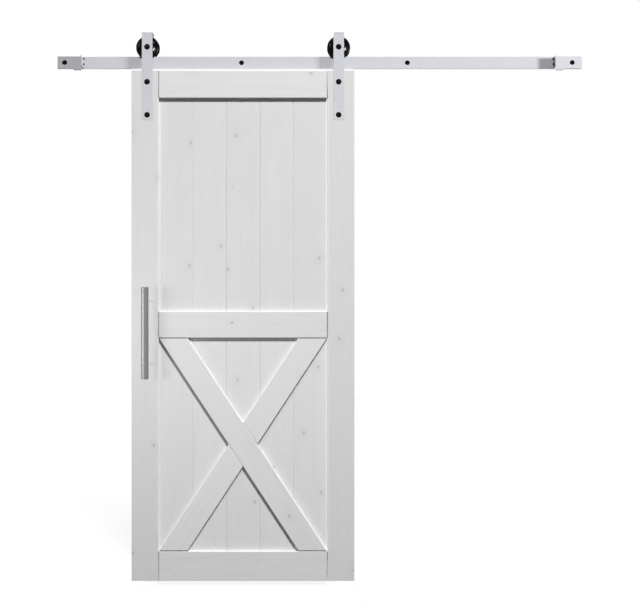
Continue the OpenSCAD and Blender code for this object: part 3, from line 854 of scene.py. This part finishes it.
class WheelsOperator(bpy.types.Operator):
    """Turns the grooved wheels with a hub, a sunk web and a rounded rim"""

    bl_idname = "barn_door.wheels"
    bl_label = "Wheels"

    def execute(self, context):
        sizes = context.scene.barn_door_sizes
        track_low, track_high = node_box("track")
        slack = (track_high.y - track_low.y) / 2 + GROOVE_PLAY
        for side in SIDES:
            low, high = node_box(side + "_wheel")
            race_low, race_high = node_box(side + "_outer_race")
            centre = (low + high) / 2
            rim = (high.z - low.z) / 2
            half = (high.y - low.y) / 2
            tread = rim - sizes.wheel_groove
            seat = (race_high.z - race_low.z) / 2 + RACE_FIT
            seat_end = (race_high.y - race_low.y) / 2
            bore = seat - SEAT_LIP
            hub = tread - HUB_STEP
            # Radius and depth from the hub out to the rim
            face = [(hub - 0.013, 0.0), (hub - 0.01, 0.0002), (hub - 0.007, 0.0006), (hub - 0.004, 0.0012),
                    (hub - 0.0015, 0.0019), (hub, WEB_DEPTH), (tread + 0.0012, WEB_DEPTH),
                    (tread + 0.003, 0.0), (rim - 0.004, 0.0), (rim - 0.0025, 0.0004),
                    (rim - 0.0012, 0.0012), (rim - 0.0004, 0.0024), (rim, 0.004)]
            front = [(radius, depth - half) for radius, depth in face]
            back = [(radius, half - depth) for radius, depth in reversed(face)]
            groove = [(rim, -slack - WEB_DEPTH), (tread, -slack), (tread, slack), (rim, slack + WEB_DEPTH)]
            ring = ([(bore, -half)] + front + groove + back
                    + [(seat, half), (seat, -seat_end), (bore, -seat_end), (bore, -half)])
            piece = turned(side + "_wheel_nylon", centre, (0, 1, 0), ring, sizes.turn_steps)
            soften(piece, WHEEL_EDGE)
            stand_for(piece, side + "_wheel", FINISHES["nylon"])
        return {"FINISHED"}


class HandleOperator(bpy.types.Operator):
    """Turns the bar handle with its caps and posts and finishes its screws"""

    bl_idname = "barn_door.handle"
    bl_label = "Bar handle"

    def execute(self, context):
        sizes = context.scene.barn_door_sizes
        steps = sizes.turn_steps
        low, high = node_box("handle_bar")
        middle = (low + high) / 2
        radius = (high.x - low.x) / 2
        inside = radius - sizes.tube_wall
        reach = (high.z - low.z) / 2
        tube = turned("handle_tube", middle, (0, 0, 1), (
            (inside, -reach), (radius, -reach), (radius, reach), (inside, reach), (inside, -reach)), steps)
        soften(tube, 0.0003)
        stand_for(tube, "handle_bar", FINISHES["stainless"])
        for name, way in (("upper_cap", 1), ("lower_cap", -1)):
            cap_low, cap_high = node_box(name)
            joint, end = (high.z, cap_high.z) if way > 0 else (low.z, cap_low.z)
            thick = abs(end - joint)
            cap = turned("handle_" + name, (middle.x, middle.y, joint), (0, 0, way), (
                (0.0, -PLUG_LENGTH), (inside - PLUG_PLAY, -PLUG_LENGTH), (inside - PLUG_PLAY, 0.0),
                (radius, 0.0), (radius, thick - CAP_EDGE), (radius - CAP_EDGE, thick), (0.0, thick)), steps)
            soften(cap, 0.0004)
            stand_for(cap, name, FINISHES["stainless"])
        for name in ("upper_post", "lower_post"):
            post_low, post_high = node_box(name)
            centre = (post_low + post_high) / 2
            radius = (post_high.z - post_low.z) / 2
            reach = (post_high.y - post_low.y) / 2
            post = turned("handle_" + name, centre, (0, 1, 0), (
                (0.0, -reach), (radius, -reach), (radius, reach), (SCREW_HOLE, reach),
                (SCREW_HOLE, reach - SCREW_DEPTH), (0.0, reach - SCREW_DEPTH)), steps // 2)
            soften(post, 0.0005)
            stand_for(post, name, FINISHES["stainless"])
        stand_for(polished("handle_screws"), "handle_screws", FINISHES["zinc"])
        return {"FINISHED"}


class StageOperator(bpy.types.Operator):
    """Sets the floor, the white surroundings, the lamps and the camera"""

    bl_idname = "barn_door.stage"
    bl_label = "Studio stage"

    def seen(self, tree, path):
        """One for the rays that show the stage itself: straight from the camera, or by gloss or glass."""
        value = math_node(tree, "MAXIMUM", path.outputs["Is Camera Ray"], path.outputs["Is Glossy Ray"])
        return math_node(tree, "MAXIMUM", value, path.outputs["Is Transmission Ray"])

    def lamp(self, name, spot, target, size, power, spread=math.pi):
        """A soft lamp that faces a point."""
        obj = added(name, bpy.ops.object.light_add, type="AREA", location=spot)
        obj.rotation_euler = (Vector(target) - Vector(spot)).to_track_quat("-Z", "Y").to_euler()
        obj.data.shape = "RECTANGLE"
        obj.data.size, obj.data.size_y = size
        obj.data.energy = power
        obj.data.spread = spread
        return obj

    def pieces_with(self, name, *words, pass_over=False):
        """Collects pieces by body, finish or name, for a lamp to light or to pass over."""
        looks = [FINISHES[word] for word in words if word in FINISHES]
        chosen = bpy.data.collections.new(name)
        for body, pieces in ON_BODY.items():
            for obj in pieces:
                if body in words or obj.name in words or obj.data.materials[0] in looks:
                    chosen.objects.link(obj)
        for entry in chosen.collection_objects:
            entry.light_linking.link_state = "EXCLUDE" if pass_over else "INCLUDE"
        return chosen

    def lay_floor(self, stage, leaf):
        """Lays a floor that looks white and takes a faint shadow near the leaf."""
        floor = added("studio_floor", bpy.ops.mesh.primitive_plane_add, size=1,
                      location=(0, 0, CAD_BOX[0][2] - FLOOR_GAP))
        floor.scale = (60.0, 60.0, 1.0)
        settle(floor)
        material = bpy.data.materials.new("Studio floor")
        tree = empty_tree(material)
        path = add(tree, "ShaderNodeLightPath")
        pale = remap(tree, path.outputs["Is Diffuse Ray"], 0.0, 1.0, 0.85, stage.bounce)
        paint = add(tree, "ShaderNodeBsdfDiffuse", {"Color": grey(tree, pale)})
        glow = add(tree, "ShaderNodeEmission", {"Color": WHITE, "Strength": 1.0})
        offset = stretch(tree, add(tree, "ShaderNodeTexCoord").outputs["Object"], (0.6, 1.0, 0.0),
                         (-0.6 * leaf.x, -leaf.y, 0.0))
        away = add(tree, "ShaderNodeVectorMath", {0: offset}, operation="LENGTH").outputs["Value"]
        white = remap(tree, away, 0.6, 2.2, 0.86, 1.0, smooth=True)
        mixed = add(tree, "ShaderNodeMixShader", {
            0: times(tree, self.seen(tree, path), white), 1: paint.outputs[0], 2: glow.outputs[0]})
        add(tree, "ShaderNodeOutputMaterial", {"Surface": mixed.outputs[0]})
        floor.data.materials.append(material)

    def surround(self, scene, stage):
        """Sets surroundings that look white and give less light than that."""
        scene.world = bpy.data.worlds.new("Studio")
        tree = empty_tree(scene.world)
        path = add(tree, "ShaderNodeLightPath")
        strength = remap(tree, self.seen(tree, path), 0.0, 1.0, stage.ambient, 1.0)
        sky = add(tree, "ShaderNodeBackground", {"Color": WHITE, "Strength": strength})
        add(tree, "ShaderNodeOutputWorld", {"Surface": sky.outputs[0]})

    def hang_lamps(self, stage, leaf, eye):
        """Hangs the lamps. Lists say which pieces a lamp lights and which ones cast no shadow for it."""
        track_low, track_high = node_box("track")
        middle = Vector((0.0, track_low.y, 0.0))
        end = Vector((track_high.x, track_low.y, 0.0))
        straps = [side + "_strap_steel" for side in SIDES]
        stops = [side + "_stop_sheet" for side in SIDES]
        key = self.lamp("Key lamp", leaf + Vector((3.7, -8.3, 11.1)), leaf, (1.9, 1.9), stage.key_power)
        key.light_linking.receiver_collection = self.pieces_with(
            "Key lamp passes over", "track_set", *straps, pass_over=True)
        key.light_linking.blocker_collection = self.pieces_with(
            "No shadow from the key lamp", "stile", "stainless", "white", "black", "nylon", "rubber",
            pass_over=True)
        # Name, place, size, power, pieces lit, pieces with no shadow
        for name, spot, size, power, lit, clear in (
                ("Side lamp", end + Vector((14.8, -11.2, 0.6)), (2.6, 2.6), stage.side_power,
                 ["track_set"], [*straps, stops[0], "rubber"]),
                ("Raking lamp", end + Vector((22.0, -6.2, 0.0)), (2.8, 4.0), stage.raking_power,
                 ["track_bar"], [*stops, "black", "rubber"]),
                ("Stop lamp", end + Vector((0.4, -9.0, 0.2)), (2.0, 2.0), stage.stop_power,
                 stops[1:], ["black"]),
                ("Strap lamp", middle + Vector((3.2, -9.0, 0.2)), (2.0, 2.0), stage.strap_power,
                 straps, ["black"])):
            lamp = self.lamp(name, spot, middle, size, power)
            lamp.data.color = (0.985, 0.99, 1.0)
            lamp.visible_glossy = False
            lamp.light_linking.receiver_collection = self.pieces_with("Lit by the " + name.lower(), *lit)
            lamp.light_linking.blocker_collection = self.pieces_with(
                "No shadow from the " + name.lower(), *clear, pass_over=True)
        grip = sum(node_box("handle_bar"), Vector()) / 2
        self.lamp("Strip lamp", grip + Vector((-1.65, -1.44, 0.0)), grip, (0.8, 0.8), stage.strip_power,
                  math.radians(50))
        self.lamp("Back lamp", leaf + Vector((-1.0, 4.0, 2.0)), leaf, (2.0, 2.0), stage.back_power)
        # Each wheel lamp stands 3 m away, where this slope of the hub's edge mirrors it to the camera
        glint = Vector((0.17, -0.985, -0.05)).normalized()
        for side in SIDES:
            hub = sum(node_box(side + "_wheel"), Vector()) / 2
            name = side.capitalize() + " wheel lamp"
            lamp = self.lamp(name, hub - 3.0 * (eye - hub).normalized().reflect(glint), hub, (0.8, 0.4),
                             stage.wheel_power, math.radians(20))
            lamp.light_linking.receiver_collection = self.pieces_with(
                "Lit by the " + name.lower(), side + "_wheel_nylon")

    def set_camera(self, scene, stage, eye):
        """Sets a level camera that faces the door."""
        camera = added("Camera", bpy.ops.object.camera_add, location=eye, rotation=(math.pi / 2, 0.0, 0.0))
        camera.data.sensor_width = 36.0
        camera.data.lens = stage.focal * camera.data.sensor_width / PICTURE_WIDTH
        camera.data.clip_end = 200.0
        scene.camera = camera
        scene.view_settings.view_transform = "Standard"

    def execute(self, context):
        scene = context.scene
        stage = scene.barn_door_stage
        track_low, track_high = node_box("track")
        leaf_low, leaf_high = node_box("left_stile")[0], node_box("right_stile")[1]
        leaf = (leaf_low + leaf_high) / 2
        eye = Vector(((track_low.x + track_high.x) / 2, leaf_low.y - stage.distance, stage.height))
        self.lay_floor(stage, leaf)
        self.surround(scene, stage)
        self.hang_lamps(stage, leaf, eye)
        self.set_camera(scene, stage, eye)
        return {"FINISHED"}


OPERATORS = (FinishesOperator, FrameOperator, BoardsOperator, BracesOperator, TrackOperator, StopsOperator,
             HangersOperator, WheelsOperator, HandleOperator, StageOperator)


class DoorPanel(bpy.types.Panel):
    """Lists the sizes, colours and steps of the door"""

    bl_idname = "VIEW3D_PT_barn_door"
    bl_label = "Barn door"
    bl_space_type = "VIEW_3D"
    bl_region_type = "UI"
    bl_category = "Barn door"

    def draw(self, context):
        column = self.layout.column()
        scene = context.scene
        for group in (scene.barn_door_sizes, scene.barn_door_colours, scene.barn_door_stage):
            for name in group.__annotations__:
                column.prop(group, name)
        for operator in OPERATORS:
            column.operator(operator.bl_idname)


CLASSES = (DoorSizes, DoorColours, StageValues) + OPERATORS + (DoorPanel,)


def register():
    """Registers the classes and the scene's settings."""
    for cls in CLASSES:
        bpy.utils.register_class(cls)
    bpy.types.Scene.barn_door_sizes = PointerProperty(type=DoorSizes)
    bpy.types.Scene.barn_door_colours = PointerProperty(type=DoorColours)
    bpy.types.Scene.barn_door_stage = PointerProperty(type=StageValues)


def unregister():
    """Removes the scene's settings and the classes."""
    del bpy.types.Scene.barn_door_stage
    del bpy.types.Scene.barn_door_colours
    del bpy.types.Scene.barn_door_sizes
    for cls in reversed(CLASSES):
        bpy.utils.unregister_class(cls)


def main():
    """Builds every piece and the stage."""
    register()
    bpy.ops.barn_door.finishes()
    bpy.ops.barn_door.frame()
    bpy.ops.barn_door.boards()
    bpy.ops.barn_door.braces()
    bpy.ops.barn_door.track()
    bpy.ops.barn_door.stops()
    bpy.ops.barn_door.hangers()
    bpy.ops.barn_door.wheels()
    bpy.ops.barn_door.handle()
    bpy.ops.barn_door.stage()
    deselect()


if __name__ == "__main__":
    main()
